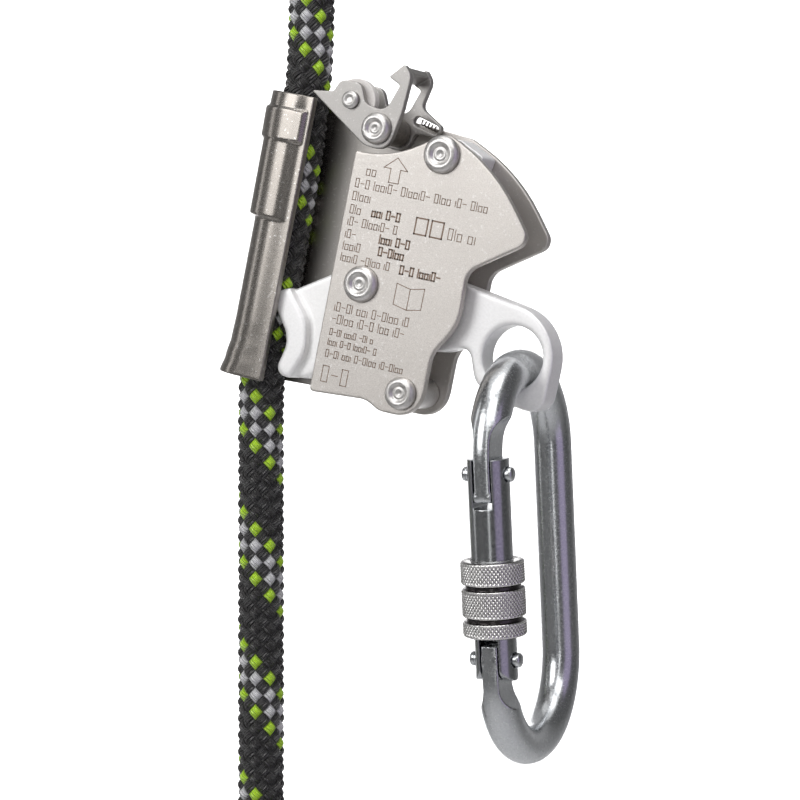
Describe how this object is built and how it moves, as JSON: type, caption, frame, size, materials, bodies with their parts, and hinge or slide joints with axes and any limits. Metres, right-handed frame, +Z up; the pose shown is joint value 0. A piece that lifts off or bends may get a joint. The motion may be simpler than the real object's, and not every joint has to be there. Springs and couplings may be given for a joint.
{
  "type": "rope grab",
  "caption": "Guided rope grab with a curled rope channel between riveted plates, a cam lever, a sprung top latch and an oval screw-gate connector, on a length of rope.",
  "frame": {"origin": "on the rope's axis, halfway up the rope channel", "axes": "+Z up the rope, +X towards the lever's eye and the connector, -Y towards the engraved front plate"},
  "size_m": [0.0969, 0.0598, 0.242],
  "materials": {
    "satin_steel": "satin stainless sheet",
    "dark_steel": "dark satin",
    "rivet_steel": "bright, formed heads",
    "cast_aluminium": "tumbled casting",
    "zinc_steel": "bright zinc plate",
    "spring_steel": "drawn wire",
    "bronze": "plain bush",
    "nylon": "natural nylon",
    "rope_sheath": "braided sheath",
    "shrink_tube": "shrunk tube"
  },
  "bodies": {
    "frame": {"back_plate": "satin_steel", "front_plate": "satin_steel", "top_rivet": "rivet_steel", "top_spacer": "dark_steel", "bottom_rivet": "rivet_steel", "bottom_spacer": "rivet_steel", "cam_axle": "rivet_steel", "cam_bush": "bronze", "cam_washer": "nylon", "cam_spring": "spring_steel", "latch_pivot_rivet": "rivet_steel", "latch_barrel": "dark_steel", "rope": "rope_sheath", "rope_top_whipping": "shrink_tube", "rope_bottom_whipping": "shrink_tube"},
    "cam_lever": {"cam_lever": "cast_aluminium"},
    "gravity_pawl": {"gravity_pawl": "cast_aluminium"},
    "latch": {"latch_frame": "satin_steel", "latch_roller_rivet": "rivet_steel", "latch_spring": "spring_steel"},
    "latch_roller": {"latch_roller": "nylon"},
    "connector": {"connector_body": "zinc_steel", "gate_hinge_pin": "zinc_steel"},
    "gate": {"gate_barrel": "zinc_steel", "gate_nose_pin": "zinc_steel", "gate_spring": "spring_steel", "gate_plunger": "spring_steel"},
    "lock_sleeve": {"lock_sleeve": "zinc_steel"}
  },
  "joints": [
    {"name": "cam_lever_pivot", "type": "hinge", "parent": "frame", "child": "cam_lever", "pos_m": [0.02623, 0, -0.0135], "axis": [0, -1, 0], "range_deg": [0, 32], "stiffness_Nm_per_rad": 0.05, "springref_deg": -28.65, "deforming": ["cam_spring"]},
    {"name": "gravity_pawl_pivot", "type": "hinge", "parent": "frame", "child": "gravity_pawl", "pos_m": [0.04921, 0, 0.01916], "axis": [0, 1, 0], "range_deg": [-12, 0]},
    {"name": "latch_pivot", "type": "hinge", "parent": "frame", "child": "latch", "pos_m": [0.03059, 0, 0.0267], "axis": [0, 1, 0], "range_deg": [0, 40], "stiffness_Nm_per_rad": 0.03, "springref_deg": -28.65, "deforming": ["latch_spring"]},
    {"name": "latch_roller_spin", "type": "hinge", "parent": "latch", "child": "latch_roller", "pos_m": [0.02317, 0, 0.03445], "axis": [0, 1, 0], "continuous": true},
    {"name": "connector_swing", "type": "hinge", "parent": "cam_lever", "child": "connector", "pos_m": [0.06644, 0, -0.03281], "axis": [0, 1, 0], "range_deg": [-60, 32]},
    {"name": "gate_hinge", "type": "hinge", "parent": "connector", "child": "gate", "pos_m": [0.06734, -0.01629, -0.1084], "axis": [-1, 0, 0], "range_deg": [0, 25], "stiffness_Nm_per_rad": 0.05, "springref_deg": -28.65, "deforming": ["gate_spring"]},
    {"name": "lock_sleeve_travel", "type": "slide", "parent": "gate", "child": "lock_sleeve", "axis": [0, -0.1097, 0.994], "range_m": [-0.004, 0.0188]}
  ]
}
